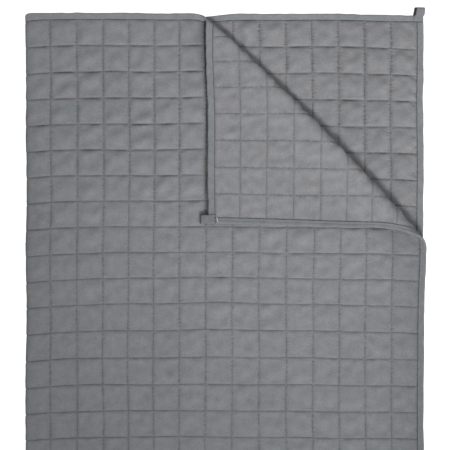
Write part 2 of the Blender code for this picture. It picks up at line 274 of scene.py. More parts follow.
strays = {                     # counted in columns from the lower open side and in rows from the foot
    "rise": 0.005,             # rows of the upper layer lie this much nearer to the head,
    "riseFrom": (10.0, 22.0),  # growing between these rows
    "riseUntil": (40.5, 31.5), # and fading between these,
    "riseArch": (13.0, 17.5, 0.8),     # in an arch: its first column, how many it spans, its power
    "hump": 0.005,             # and by this much more round one row
    "humpRow": (28.7, 1.9),
    "sway": (0.0009, 0.0027),  # columns of the upper layer stray evenly, and from side to side
    "swayFrom": 15.3,
    "swayColumns": 8.4,
    "swayEnd": 3.5,            # less so in the last columns
    "headSway": 0.0022,        # and more round one column and row near the head
    "headSwayColumn": (19.0, 3.0),
    "headSwayRow": (35.0, 3.0),
    "underSag": (0.002, 0.0045),       # rows of the lower layer sag, and more so at its open side
    "underSagReach": 1.3,
    "underSagHead": 0.7,       # but not at the head
    "underSagRows": (10.0, 20.0),
    "underLean": 0.0028,       # and its columns lean near the head
    "underLeanRows": 2.0,
    "underLeanColumns": (0.0, 2.0),
    "foldLift": 0.0045,        # all rows run straighter into the fold by this much
    "foldLiftReach": 0.42,
    "flapFrom": (61.0, 63.0),  # column and row numbers add up to this where the flap begins
    "flapSpread": 0.0042,      # its columns spread near its corner
    "flapSpreadColumn": (29.0, 1.6),
    "flapSpreadRows": (34.0, 37.0),
    "flapClose": 0.00252,      # and lie nearer to the fold before these
    "flapCloseColumns": (27.0, 24.5),
    "flapShift": 0.0026,       # its rows lie nearer to the head
    "flapShiftRows": (35.0, 38.0),
}


def seamStray(u, v):
    # how far the seams lie from even spacing, sideways and lengthways, by smooth steps, bells, an
    # arch across the upper layer and a sine from column to column
    upper = smoothStep(u - foldColumn + 1.0)
    turned = rising(u + v, *strays["flapFrom"]) * upper
    flat = upper * (1.0 - turned)
    archFirst, archSpan, archPower = strays["riseArch"]
    arch = np.sin(math.pi * np.clip((u - archFirst) / archSpan, 0.0, 1.0)) ** archPower
    rise = strays["rise"] * rising(v, *strays["riseUntil"]) * rising(v, *strays["riseFrom"])
    rise = rise + strays["hump"] * bell(v, *strays["humpRow"])
    even, swing = strays["sway"]
    sway = even + swing * np.sin((u - strays["swayFrom"]) * 2 * math.pi / strays["swayColumns"])
    sway = sway * smoothStep((cloth["columns"] - u) / strays["swayEnd"]) * smoothStep(u - foldColumn)
    headSway = strays["headSway"] * bell(v, *strays["headSwayRow"])
    sway = sway + headSway * bell(u, *strays["headSwayColumn"])

    fromHead = cloth["rows"] - v
    evenSag, edgeSag = strays["underSag"]
    sag = evenSag + edgeSag * fading(u, strays["underSagReach"])
    sag = sag * growing(fromHead, strays["underSagHead"]) * rising(v, *strays["underSagRows"])
    lean = strays["underLean"] * fading(fromHead, strays["underLeanRows"])
    lean = lean * rising(u, *strays["underLeanColumns"])

    spread = strays["flapSpread"] * bell(u, *strays["flapSpreadColumn"])
    spread = spread * rising(v, *strays["flapSpreadRows"])
    spread = spread - strays["flapClose"] * rising(u, *strays["flapCloseColumns"])
    shift = strays["flapShift"] * rising(v, *strays["flapShiftRows"]) * smoothStep(fromHead)
    sideways = flat * sway + (1.0 - upper) * lean + turned * spread
    lengthways = flat * rise * arch - (1.0 - upper) * sag + turned * shift
    foldLift = strays["foldLift"] * fading(np.abs(u - foldColumn), strays["foldLiftReach"])
    return sideways, lengthways + foldLift


def gridQuads(index):
    # the four corners of every small square in a grid of point numbers
    return np.stack([index[:-1, :-1], index[1:, :-1], index[1:, 1:], index[:-1, 1:]], axis=-1)


def edgeRing(index):
    # the point numbers round the edge of a grid, in order
    return np.concatenate([index[:-1, 0], index[-1, :-1], index[:0:-1, -1], index[0, :0:-1]])


def wallQuads(ring, offset):
    # joins a ring of point numbers to the same ring so many numbers further on
    under = ring + offset
    return np.stack([ring, under, np.roll(under, -1), np.roll(ring, -1)], axis=-1)


def pairs(first, second):
    # two arrays of one shape as rows of two numbers
    return np.stack([first, second], axis=-1).reshape(-1, 2)


def newMesh(name, points, polygons, uvs=None, shades=None):
    # polygons is a list of index arrays, each with one row for every face of the same corner count;
    # shades holds one number for every point, kept as a named attribute
    used = np.unique(np.concatenate([p.ravel() for p in polygons]))
    renumber = np.zeros(len(points), dtype=np.int64)
    renumber[used] = np.arange(len(used))
    corners = renumber[np.concatenate([p.ravel() for p in polygons])]
    sizes = np.concatenate([np.full(len(p), p.shape[1]) for p in polygons])
    starts = np.concatenate([[0], np.cumsum(sizes)[:-1]])
    mesh = bpy.data.meshes.new(name)
    mesh.vertices.add(len(used))
    mesh.vertices.foreach_set("co", points[used].astype(np.float32).ravel())
    mesh.loops.add(len(corners))
    mesh.loops.foreach_set("vertex_index", corners.astype(np.int32))
    mesh.polygons.add(len(sizes))
    mesh.polygons.foreach_set("loop_start", starts.astype(np.int32))
    for uvName, values in (uvs or {}).items():
        layer = mesh.uv_layers.new(name=uvName)
        layer.data.foreach_set("uv", values[used][corners].astype(np.float32).ravel())
    for shadeName, values in (shades or {}).items():
        attribute = mesh.attributes.new(shadeName, "FLOAT", "POINT")
        attribute.data.foreach_set("value", values[used].astype(np.float32))
    mesh.update(calc_edges=True)
    mesh.validate()
    mesh.shade_smooth()
    return mesh


def facingOut(mesh):
    # turns the faces of a closed mesh outwards
    shell = bmesh.new()
    shell.from_mesh(mesh)
    bmesh.ops.recalc_face_normals(shell, faces=shell.faces[:])
    shell.to_mesh(mesh)
    shell.free()
    return mesh


def newObject(name, data):
    placed = bpy.data.objects.new(name, data)
    bpy.context.scene.collection.objects.link(placed)
    return placed


def newPiece(name, mesh, material, nodes=()):
    piece = newObject(name, mesh)
    mesh.materials.append(material)
    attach(piece, "root")
    if nodes:
        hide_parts(*nodes)
    print("made", name, "with", len(mesh.polygons), "faces")
    return piece


def newGroup(name, inputs, outputs):
    # inputs gives each socket its first value, or None for a vector; all outputs are single values
    group = bpy.data.node_groups.new(name, "ShaderNodeTree")
    for socketName, value in inputs.items():
        kind = "NodeSocketVector" if value is None else "NodeSocketFloat"
        socket = group.interface.new_socket(socketName, in_out="INPUT", socket_type=kind)
        if value is not None:
            socket.default_value = value
    for socketName in outputs:
        group.interface.new_socket(socketName, in_out="OUTPUT", socket_type="NodeSocketFloat")
    return group, group.nodes.new("NodeGroupInput"), group.nodes.new("NodeGroupOutput")


def mathNode(tree, operation, *values, clamp=False):
    # each value is a number or a socket; the result is the node's output socket
    node = tree.nodes.new("ShaderNodeMath")
    node.operation = operation
    node.use_clamp = clamp
    for socket, value in zip(node.inputs, values):
        if isinstance(value, (int, float)):
            socket.default_value = value
        else:
            tree.links.new(value, socket)
    return node.outputs[0]


def times(tree, product, *others):
    # all the values multiplied
    for value in others:
        product = mathNode(tree, "MULTIPLY", product, value)
    return product


def scaled(tree, value, factor, base, clamp=False):
    # the value times a factor, plus a base
    return mathNode(tree, "ADD", mathNode(tree, "MULTIPLY", value, factor), base, clamp=clamp)


def noiseNode(tree, vector, scale, detail=2.0, roughness=0.5):
    node = tree.nodes.new("ShaderNodeTexNoise")
    node.inputs["Scale"].default_value = scale
    node.inputs["Detail"].default_value = detail
    node.inputs["Roughness"].default_value = roughness
    tree.links.new(vector, node.inputs["Vector"])
    return node.outputs["Fac"]


def fallOff(tree, distance, reach):
    # the exponential of minus the distance over the reach
    return mathNode(tree, "EXPONENT", mathNode(tree, "MULTIPLY", distance, -1.0 / reach))


finish = {
    "cotton": (0.1885, 0.1866, 0.1916),
    "tape": (0.1800, 0.1785, 0.1840),
    "thread": (0.135, 0.137, 0.140),
    "bartack": (0.62, 0.62, 0.62),
    "cool": (0.93, 1.0, 1.018, 1.0),   # tint of the bluer patches
    "insideWarmth": 0.28,      # the inner face is less blue by this share
    "specular": 0.25,
    "sheenRoughness": 0.5,
    "cottonRoughness": (0.3, 0.6),     # how much it follows the heather, and from what
    "cottonThreads": 1800.0,   # a metre
    "tapeThreads": 1500.0,
    "weaveShade": (0.12, 0.91),        # how much brighter a thread's top is, and the low places
    "cottonWeaveBump": 0.00006,
    "tapeWeaveBump": 0.00008,
    "puckerBump": 0.0028,
    "stitchBump": 0.0003,
    "stitchShine": 0.12,       # how much brighter the stitches are
    "slack": (150.0, 2.0),     # scale and detail of the tape's small unevenness
    "slackBump": 0.0006,
    "breaks": (330.0, 1.0, 1.2),       # the painted low-place shade's unevenness: scale, detail and how much
    "heather": ((9.0, 2.0, 0.14), (70.0, 3.0, 0.44), (420.0, 2.0, 0.66)),  # the same, three times
    "patches": (24.0, 3.0, 0.65),      # the bluer patches: scale, detail and roughness
    "patchContrast": 2.6,
    "twist": (900.0, 0.25, 0.85),      # the thread's stripes: scale, how bright, and the least
    "twistBump": 0.00004,
}


def weaveGroup():
    # plain weave: warp and weft are half sine humps, and a checker says which of them is on top
    inputs = {"Place": None, "Threads": finish["cottonThreads"]}
    group, entry, result = newGroup("plainWeave", inputs, ("Height", "Shade"))
    split = group.nodes.new("ShaderNodeSeparateXYZ")
    group.links.new(entry.outputs["Place"], split.inputs[0])
    humps = []
    counts = []
    for axis in ("X", "Y"):
        number = times(group, split.outputs[axis], entry.outputs["Threads"])
        counts.append(mathNode(group, "FLOOR", number))
        wave = mathNode(group, "SINE", times(group, number, math.pi))
        humps.append(mathNode(group, "ABSOLUTE", wave))
    turn = mathNode(group, "PINGPONG", mathNode(group, "ADD", *counts), 1.0)
    warp = times(group, humps[0], turn)
    weft = times(group, humps[1], mathNode(group, "SUBTRACT", 1.0, turn))
    height = mathNode(group, "MAXIMUM", warp, weft)
    group.links.new(height, result.inputs["Height"])
    group.links.new(scaled(group, height, *finish["weaveShade"]), result.inputs["Shade"])
    return group


def toneGroup():
    # three noises, broad, middling and threadlike, added up to a brightness near 1
    group, entry, result = newGroup("clothTone", {"Place": None, "Amount": 1.0}, ("Shade", "Coolness"))
    place = entry.outputs["Place"]
    total = 1.0
    for scale, detail, weight in finish["heather"]:
        centred = mathNode(group, "SUBTRACT", noiseNode(group, place, scale, detail), 0.5)
        total = mathNode(group, "ADD", times(group, centred, weight, entry.outputs["Amount"]), total)
    group.links.new(total, result.inputs["Shade"])
    patches = mathNode(group, "SUBTRACT", noiseNode(group, place, *finish["patches"]), 0.5)
    patches = scaled(group, patches, finish["patchContrast"], 0.5, clamp=True)
    group.links.new(patches, result.inputs["Coolness"])
    return group


# painted shade in the seam creases and just beside them, and the puckers' bumps
seamLook = {
    "X": {                     # the column seams: broad and broken
        "creaseShade": 0.32, "creaseReach": 0.0012, "least": -1.4,
        "uneven": 2.6, "breaks": 170.0, "slowUneven": 1.4,
        "pucker": 1.5, "puckerReach": 0.0055,
    },
    "Y": {                     # the row seams: narrow and crisp
        "creaseShade": 0.47, "creaseReach": 0.00085, "least": -0.02,
        "uneven": 0.8, "breaks": 60.0, "slowUneven": 0.9,
        "pucker": 0.6, "puckerReach": 0.0030,
    },
    "slowBreaks": 16.0,
    "crossing": 0.4,           # the painted crease shade is weaker by this where two seams cross
    "crossingReach": 0.0016,
    "shoulderShade": 0.05,          # painted shade: the cloth is a little darker this far out from a seam
    "shoulderReach": 0.0055,
    "stretch": 0.45,           # the puckers' scale across a seam, as a share of that along it
    "folds": (240.0, 2.0, 0.55),       # scale, detail and roughness of the puckers
    "stitchPitch": 0.0029,
    "stitchGap": 0.28,         # as a share of the pitch
    "stitchWidth": 0.00033,    # to either side
}


def seamGroup():
    # from cell units: painted shade in the creases along the seams, broken at the crossings and by
    # noise, the dashes of the stitches, and small puckers that run away from the seams
    inputs = {"Cells": None, "Place": None, "X share": 1.0, "Y share": 1.0}
    group, entry, result = newGroup("quiltSeams", inputs, ("CreaseShade", "Stitch", "Pucker"))
    place = entry.outputs["Place"]
    cells = group.nodes.new("ShaderNodeSeparateXYZ")
    group.links.new(entry.outputs["Cells"], cells.inputs[0])
    sizes = {"X": cellWidth, "Y": cellLength}
    gaps = {}
    for axis, size in sizes.items():
        gaps[axis] = times(group, mathNode(group, "PINGPONG", cells.outputs[axis], 0.5), size)
    slow = noiseNode(group, place, seamLook["slowBreaks"])
    creases = []
    stitches = []
    puckers = []
    for axis, other in (("X", "Y"), ("Y", "X")):
        look = seamLook[axis]
        gap = gaps[axis]
        stretched = group.nodes.new("ShaderNodeMapping")
        stretched.inputs["Scale"].default_value["XY".index(axis)] = seamLook["stretch"]
        group.links.new(place, stretched.inputs["Vector"])
        folds = noiseNode(group, stretched.outputs["Vector"], *seamLook["folds"])
        puckers.append(times(group, fallOff(group, gap, look["puckerReach"]), look["pucker"], folds))
        uneven = times(group, noiseNode(group, place, look["breaks"]), look["uneven"])
        uneven = scaled(group, slow, look["slowUneven"], uneven)
        uneven = mathNode(group, "ADD", uneven, look["least"], clamp=True)
        crossing = fallOff(group, gaps[other], seamLook["crossingReach"])
        whole = scaled(group, crossing, -seamLook["crossing"], 1.0)
        tight = times(group, uneven, entry.outputs[axis + " share"])
        tight = times(group, fallOff(group, gap, look["creaseReach"]), tight, whole, look["creaseShade"])
        shoulderShade = fallOff(group, gap, seamLook["shoulderReach"])
        creases.append(scaled(group, shoulderShade, seamLook["shoulderShade"], tight))
        along = times(group, cells.outputs[other], sizes[other] / seamLook["stitchPitch"])
        dash = mathNode(group, "GREATER_THAN", mathNode(group, "FRACT", along), seamLook["stitchGap"])
        line = mathNode(group, "LESS_THAN", gap, seamLook["stitchWidth"])
        stitches.append(times(group, dash, line))
    group.links.new(mathNode(group, "MAXIMUM", *creases, clamp=True), result.inputs["CreaseShade"])
    group.links.new(mathNode(group, "MAXIMUM", *stitches, clamp=True), result.inputs["Stitch"])
    group.links.new(mathNode(group, "ADD", *puckers), result.inputs["Pucker"])
    return group


def placeGroup(tree, group, links):
    node = tree.nodes.new("ShaderNodeGroup")
    node.node_tree = group
    for name, socket in links.items():
        tree.links.new(socket, node.inputs[name])
    return node


def uvPlace(tree, name):
    node = tree.nodes.new("ShaderNodeUVMap")
    node.uv_map = name
    return node.outputs["UV"]


def pointValue(tree, name):
    node = tree.nodes.new("ShaderNodeAttribute")
    node.attribute_name = name
    return node.outputs["Fac"]


def tinted(tree, colour, *shades):
    # the plain colour, scaled by each shade in turn
    node = tree.nodes.new("ShaderNodeVectorMath")
    node.operation = "SCALE"
    node.inputs[0].default_value = colour
    tree.links.new(times(tree, *shades), node.inputs["Scale"])
    return node.outputs[0]


def coolTint(tree, colour, amount):
    # a slow drift between neutral and slightly blue-green
    node = tree.nodes.new("ShaderNodeMix")
    node.data_type = "RGBA"
    node.blend_type = "MULTIPLY"
    node.inputs["B"].default_value = finish["cool"]
    tree.links.new(amount, node.inputs["Factor"])
    tree.links.new(colour, node.inputs["A"])
    return node.outputs["Result"]


def bumped(tree, shader, *heights):
    # bump nodes one after the other, each with its own height and distance
    normal = None
    for height, distance in heights:
        node = tree.nodes.new("ShaderNodeBump")
        node.inputs["Strength"].default_value = 1.0
        node.inputs["Distance"].default_value = distance
        tree.links.new(height, node.inputs["Height"])
        if normal:
            tree.links.new(normal, node.inputs["Normal"])
        normal = node.outputs["Normal"]
    tree.links.new(normal, shader.inputs["Normal"])


def newMaterial(name, roughness, sheen):
    material = bpy.data.materials.new(name)
    material.use_nodes = True
    shader = material.node_tree.nodes["Principled BSDF"]
    shader.inputs["Roughness"].default_value = roughness
    shader.inputs["Metallic"].default_value = 0.0
    shader.inputs["Specular IOR Level"].default_value = finish["specular"]
    shader.inputs["Sheen Weight"].default_value = sheen
    shader.inputs["Sheen Roughness"].default_value = finish["sheenRoughness"]
    return material, material.node_tree, shader


def cottonMaterial(weave, tone, seams):
    # weave and heather, with painted shade in the seam creases and low places, and puckers, stitches and
    # threads as bumps
    material, tree, shader = newMaterial("quiltedCotton", roughness=0.92, sheen=0.06)
    place = uvPlace(tree, "cloth")
    threads = placeGroup(tree, weave, {"Place": place})
    heather = placeGroup(tree, tone, {"Place": place})
    marks = placeGroup(tree, seams, {
        "Cells": uvPlace(tree, "cells"), "Place": place,
        "X share": pointValue(tree, "columnShare"), "Y share": pointValue(tree, "rowShare"),
    })
    # painted shade in the seam creases; the stitches are a lighter thread
    creaseShade = mathNode(tree, "SUBTRACT", 1.0, marks.outputs["CreaseShade"])
    stitch = scaled(tree, marks.outputs["Stitch"], finish["stitchShine"], 1.0)
    # painted shade in the low places, broken by noise
    scale, detail, amount = finish["breaks"]
    uneven = scaled(tree, noiseNode(tree, place, scale, detail), amount, 1.0 - amount / 2)
    paintedShadeFactor = times(tree, pointValue(tree, "paintedShade"), uneven)
    paintedShadeFactor = mathNode(tree, "SUBTRACT", 1.0, paintedShadeFactor, clamp=True)
    colour = tinted(
        tree, finish["cotton"], threads.outputs["Shade"], heather.outputs["Shade"], creaseShade, stitch, paintedShadeFactor,
    )
    coolness = scaled(
        tree, pointValue(tree, "inside"), -finish["insideWarmth"], heather.outputs["Coolness"], clamp=True,
    )
    tree.links.new(coolTint(tree, colour, coolness), shader.inputs["Base Color"])
    rough = scaled(tree, heather.outputs["Shade"], *finish["cottonRoughness"], clamp=True)
    tree.links.new(rough, shader.inputs["Roughness"])
    puckers = times(tree, marks.outputs["Pucker"], pointValue(tree, "loose"))
    bumped(
        tree, shader, (puckers, finish["puckerBump"]), (marks.outputs["Stitch"], finish["stitchBump"]),
        (threads.outputs["Height"], finish["cottonWeaveBump"]),
    )
    return material


def tapeMaterial(weave, tone):
    # a finer weave, with each piece's tone, which carries painted shade towards the open side and on the
    # loops, and a slight slackness
    material, tree, shader = newMaterial("bindingTape", roughness=0.85, sheen=0.08)
    place = uvPlace(tree, "cloth")
    threads = placeGroup(tree, weave, {"Place": place})
    threads.inputs["Threads"].default_value = finish["tapeThreads"]
    heather = placeGroup(tree, tone, {"Place": place})
    colour = tinted(
        tree, finish["tape"], threads.outputs["Shade"], heather.outputs["Shade"], pointValue(tree, "tone"),
    )
    tree.links.new(coolTint(tree, colour, heather.outputs["Coolness"]), shader.inputs["Base Color"])
    slack = noiseNode(tree, place, *finish["slack"])
    bumped(tree, shader, (slack, finish["slackBump"]), (threads.outputs["Height"], finish["tapeWeaveBump"]))
    return material


def threadMaterial(name, colour):
    # two-ply sewing thread: slanted stripes of light and dark
    material, tree, shader = newMaterial(name, roughness=0.6, sheen=0.0)
    scale, bright, least = finish["twist"]
    wave = tree.nodes.new("ShaderNodeTexWave")
    wave.inputs["Scale"].default_value = scale
    tree.links.new(tree.nodes.new("ShaderNodeTexCoord").outputs["Object"], wave.inputs["Vector"])
    shade = scaled(tree, wave.outputs["Fac"], bright, least)
    tree.links.new(tinted(tree, colour, shade), shader.inputs["Base Color"])
    bumped(tree, shader, (wave.outputs["Fac"], finish["twistBump"]))
    return material


plainWeave = weaveGroup()
clothTone = toneGroup()
cottonCloth = cottonMaterial(plainWeave, clothTone, seamGroup())
tapeCloth = tapeMaterial(plainWeave, clothTone)
sewingThread = threadMaterial("sewingThread", finish["thread"])
bartackThread = threadMaterial("bartackThread", finish["bartack"])
print("finishes ready")

quilt = {
    "wanderSeed": 21,
    "outerSeed": 31,
    "innerSeed": 51,
    "sideRise": 0.0030,        # how far from a column seam the filling reaches two thirds of its height
    "footRise": 0.0007,        # the same at the foot side of a square, where the filling has slid to
    "headRise": 0.0016,        # and at its head side
    "thinnest": 0.74,          # the least filled square's share of the crown
    "sag": 0.0012,             # extra height from the filling that has slid down, on any upward face
    "headSag": 0.0034,         # more of it in the upper layer's rows near the head
    "headSagRows": (29.0, 35.0),
    "underSag": 0.0062,        # and in the lower layer's squares that lie open,
    "underSagFrom": (0.014, 0.044),    # this far beyond the roll's line
    "sagSide": 0.007,
    "sagPeak": 0.65,           # where it is highest, as a share of the way to the foot seam
    "sagFold": 0.03,           # it grows over this distance from the fold,
    "sagRamp": 0.01,           # and ends over this at the flap's edges
    "foldTight": (0.35, 0.035),        # share of the dents and puckers left at the fold, and its reach
    "dents": 0.0011,           # soft dents over a whole square
    "dentWaves": (0.020, 0.050),       # shortest, longest; others also say number, lean and spread
    "dentFade": 0.006,         # dents fade this near to a seam, so that the seams stay even
    "headDents": 0.0008,       # slanting ones near the head
    "headDentWaves": (0.026, 0.055, 8, -math.pi / 4, 0.9),
    "puckers": 0.00075,        # short folds that run away from a column seam
    "puckerReach": 0.0065,
    "puckerWaves": (0.0075, 0.014, 16, math.pi / 2, 0.7),
    "patchWaves": (0.03, 0.09, 8),     # they come in patches, up to this much deeper
    "patchMost": 1.6,
    "creases": 0.0013,         # slanting wrinkles by the lower layer's binding
    "creaseWaves": (0.011, 0.019, 10, -math.pi / 4, 0.8),
    "creaseReach": 0.022,
    "wander": 0.0006,          # how far a seam strays from straight
    "wanderWaves": (2.2, 6.0), # in squares
    "wanderArc": 0.45,         # spread of the arcs between crossings
    "spacing": 0.55,           # how much closer together the points lie near a seam
    "foldStays": 0.03,         # seams don't stray this near to the fold
    "foldLevel": 0.0010,       # row seams are this much less deep round the fold
    "foldWidth": 0.012,
    "underside": 0.004,        # the face on the floor stays within the crown from here on
    "press": 0.85,             # the flap's edge flattens the filling beside it by this much
    "pressReach": 0.0065,
    "pressFrom": (0.6, 0.612), # from here to the head
    "flapEdge": -0.0335,       # x of the flap's left edge
    "looseFolds": 0.65,        # puckers elsewhere, as a share of those in the bare lower layer
    "flapShares": (1.25, 0.6), # painted shade of the column and row creases on the flap, where the first are the crisper
    "turnMargin": 0.01,        # squares are seen from this far before the roll's line,
    "hiddenMargin": 0.02,      # and hidden this far inside the flap's edges,
    "rollReach": 0.08,         # unless they lie within this of the line
}
paintedLowShades = {                    # painted shade in the low places, where shade falls: how dark, and how far it reaches
    "rim": (0.26, 0.0016),     # the line where the binding meets the cloth
    "foldTurn": (0.22, 0.007), # the turn of the lengthwise fold
    "foldSide": (0.10, 0.05),  # the middle of the fold's side,
    "foldMiddle": (0.58, 0.20),        # round this place
    "openSide": (0.20, 0.055), # and towards the open side
    "press": (0.72, 0.0023, 0.0095),   # painted shadow beside the flap; its last number is the reach at the head,
    "pressHead": (0.84, 0.94), # which it comes to between these places
}


def cellLines(cells, count, stepsOf):
    # line numbers in cell units, with the steps of each cell drawn towards its seams by a sine, and
    # one line more for the rim where the piece ends at the cloth's edge
    lines = [[-1.0]] if cells[0] == 0 else []
    for cell in range(*cells):
        part = np.arange(stepsOf(cell)) / stepsOf(cell)
        lines.append(cell + part - quilt["spacing"] * np.sin(2 * math.pi * part) / (2 * math.pi))
    lines.append([cells[1]])
    if cells[1] == count:
        lines.append([count + 1.0])
    return np.concatenate(lines)


def offRim(number, count):
    # 0 at the outermost seams and 1 from one square further in, by a smooth step
    return smoothStep(np.minimum(number, count - number))


def seamWander(u, v):
    # every seam has its own slow sine and a small arc between crossings; points between two
    # seams take their share of each. Numbers start at -1, so the run along a seam is counted up
    mostSquares = 64

    def stray(number, count, run, seedPart):
        chance = np.random.default_rng(seedPart)
        phases = chance.uniform(0.0, 2.0 * math.pi, (count + 3, 2))
        waves = chance.uniform(*quilt["wanderWaves"], count + 3)
        arcs = chance.normal(0.0, quilt["wanderArc"], (count + 3, mostSquares))
        pick = np.clip(number, -1, count + 1).astype(int) + 1
        slow = 0.5 * np.sin(run * 2 * math.pi / waves[pick] + phases[pick, 0])
        arc = arcs[pick, np.clip(run.astype(int), 0, mostSquares - 1)]
        arc = arc * np.sin(math.pi * (run - np.floor(run)))
        fade = np.where((number <= 0) | (number >= count), 0.0, 1.0)
        return quilt["wander"] * (slow + arc) * fade

    def between(number, count, run, seedPart):
        low = np.floor(number)
        share = number - low
        there = stray(low + 1, count, run, seedPart)
        return stray(low, count, run, seedPart) * (1.0 - share) + there * share

    ends = offRim(u, cloth["columns"]) * offRim(v, cloth["rows"])
    sideways = between(u, cloth["columns"], v + 2.0, quilt["wanderSeed"])
    lengthways = between(v, cloth["rows"], u + 2.0, quilt["wanderSeed"] + 1)
    return sideways * ends, lengthways * ends


def flapPress(across, along, reach):
    # 1 beside the flap's left edge, falling off as an exponential, on the upper layer's outer face
    beside = fading(np.abs(foldX + across - foldReach - quilt["flapEdge"]), reach)
    return beside * rising(along, *quilt["pressFrom"]) * np.where(across > 0.0, 1.0, 0.0)


def paintedLowShade(across, along, outer):
    # painted shade where shade falls: beside the binding, and on the outer face beside the flap, more so
    # near the head, round the lengthwise fold and towards the open side; each is an exponential of the
    # distance
    def shade(name, distance):
        strength, reach = paintedLowShades[name]
        return strength * fading(np.maximum(distance, 0.0), reach)

    paintedDark = shade("rim", np.minimum(innerWidth - np.abs(across), innerLength - np.abs(along)))
    if outer:
        strength, reach, headReach = paintedLowShades["press"]
        reach = reach + (headReach - reach) * rising(along, *paintedLowShades["pressHead"])
        paintedDark = np.maximum(paintedDark, strength * flapPress(across, along, reach))
        paintedDark = paintedDark + shade("foldTurn", np.abs(across)) + shade("openSide", halfWidth - across)
        paintedDark = paintedDark + shade("foldSide", np.abs(across)) * bell(along, *paintedLowShades["foldMiddle"])
    return paintedDark


def sagHeight(u, v, across, along, outer):
    # how much height the filling that has slid down adds on this face
    if outer:
        x = foldX + np.abs(across) - foldReach
        height = quilt["sag"] + quilt["headSag"] * rising(v, *quilt["headSagRows"])
        besideFlap = smoothStep((x - quilt["flapEdge"]) / quilt["sagRamp"])
        aboveFlap = smoothStep((along - quilt["pressFrom"][0]) / quilt["sagRamp"])
        return height * (1.0 - besideFlap * aboveFlap) * smoothStep(across / quilt["sagFold"])
    beyond = flatPlace(np.abs(across), along)[1]
    return quilt["underSag"] * rising(beyond, *quilt["underSagFrom"]) * np.where(u < foldColumn, 1.0, 0.0)


def pocketLift(u, v, across, along, outer):
    # the filled square: one exponential rise from each of its four seams, all multiplied, times
    # its own filling; then the slid filling, highest near the foot seam, soft dents, and short
    # folds beside the column seams
    seed = quilt["outerSeed" if outer else "innerSeed"]
    column = np.clip(np.floor(u), 0, cloth["columns"] - 1)
    row = np.clip(np.floor(v), 0, cloth["rows"] - 1)
    fromLow = (u - column) * cellWidth
    fromHigh = (column + 1 - u) * cellWidth
    fromFoot = (v - row) * cellLength
    fromHead = (row + 1 - v) * cellLength
    fromSide = np.minimum(fromLow, fromHigh)
    rise = growing(fromLow, quilt["sideRise"]) * growing(fromHigh, quilt["sideRise"])
    rise = rise * growing(fromFoot, quilt["footRise"]) * growing(fromHead, quilt["headRise"])
    chance = np.random.default_rng(seed)
    filling = chance.uniform(quilt["thinnest"], 1.0, (cloth["columns"], cloth["rows"]))
    filling = filling[column.astype(int), row.astype(int)]
    height = (cloth["crown"] - cloth["seam"]) * rise * filling

    downhill = fromHead / cellLength
    peak = quilt["sagPeak"]
    slid = (downhill - downhill ** 2 / (2.0 * peak)) * 2.0 / peak * growing(fromFoot, quilt["footRise"])
    slid = slid * growing(fromSide, quilt["sagSide"]) * filling
    height = height + sagHeight(u, v, across, along, outer) * slid

    least, wholeAt = quilt["foldTight"]
    rise = rise * (least + (1.0 - least) * smoothStep(np.abs(across) / wholeAt))
    middle = rise
    for distance in (fromLow, fromHigh, fromFoot, fromHead):
        middle = middle * growing(distance, quilt["dentFade"])
    dents = quilt["dents"] * ripples(across, along, seed + 1, *quilt["dentWaves"])
    folds = quilt["puckers"] * ripples(across, along, seed + 2, *quilt["puckerWaves"])
    patchy = 0.5 + 0.5 * ripples(across, along, seed + 3, *quilt["patchWaves"])
    folds = folds * fading(fromSide, quilt["puckerReach"]) * np.clip(patchy, 0.0, quilt["patchMost"])
    height = height + dents * middle + folds * rise
    if outer:
        slanting = quilt["headDents"] * ripples(across, along, seed + 5, *quilt["headDentWaves"])
        height = height + slanting * rising(v, *quilt["headSagRows"]) * middle
        height = height * (1.0 - quilt["press"] * flapPress(across, along, quilt["pressReach"]))
    else:
        slanting = quilt["creases"] * ripples(across, along, seed + 4, *quilt["creaseWaves"])
        byEdge = fading(innerWidth + across, quilt["creaseReach"]) * np.where(across < 0.0, 1.0, 0.0)
        height = height + slanting * byEdge * rise
    inside = (u >= 0) & (u <= cloth["columns"]) & (v >= 0) & (v <= cloth["rows"])
    return cloth["seam"] + np.where(inside, np.maximum(height, 0.0), 0.0)


def shownCells(columns, rows, outer):
    # which squares are seen on this face; the squares along the open edges always are
    column, row = np.meshgrid(np.arange(*columns), np.arange(*rows), indexing="ij")
    across = np.interp(column, columnNumbers, columnSeams)
    along = np.interp(row, rowNumbers, rowSeams)
    rim = (column <= 0) | (column >= cloth["columns"] - 1) | (row <= 0) | (row >= cloth["rows"] - 1)
    upper = column >= foldColumn - 1
    if outer:
        beyond = flatPlace(across, along)[1]
        corner = layFlat(np.array([halfWidth]), np.array([halfLength]), np.array([0.0]))[0]
        covered = foldX + across - foldReach > corner[0] + quilt["hiddenMargin"]
        covered = covered & (along > corner[1] + quilt["hiddenMargin"])
        wrapped = np.abs(beyond) < quilt["rollReach"]
        return rim | ~upper | ~covered | wrapped
    run, beyond = flatPlace(across + cellWidth, along + cellLength)
    turned = beyond > rollShape(run)[1] - quilt["turnMargin"]
    bare = flatPlace(-across, along + cellLength)[1] > -quilt["turnMargin"]
    return rim | np.where(upper, turned, bare)


def sheetFaces(numbers, u, v, columns, rows, outer):
    # small quads in every square that is seen, and one large face for each of the others
    def squareOf(lines, cells):
        middles = np.floor((lines[:-1] + lines[1:]) / 2).astype(int)
        return np.clip(middles, cells[0], cells[1] - 1) - cells[0]

    seen = shownCells(columns, rows, outer)
    rimU = (u[:-1] < 0) | (u[1:] > cloth["columns"])
    rimV = (v[:-1] < 0) | (v[1:] > cloth["rows"])
    dense = seen[np.ix_(squareOf(u, columns), squareOf(v, rows))] | rimU[:, None] | rimV[None, :]
    polygons = [gridQuads(numbers)[dense]]
    for column, row in np.argwhere(~seen) + (columns[0], rows[0]):
        inU = np.flatnonzero((u >= column) & (u <= column + 1))
        inV = np.flatnonzero((v >= row) & (v <= row + 1))
        polygons.append(edgeRing(numbers[np.ix_(inU, inV)])[None, :])
    return polygons if outer else [faces[:, ::-1] for faces in polygons]


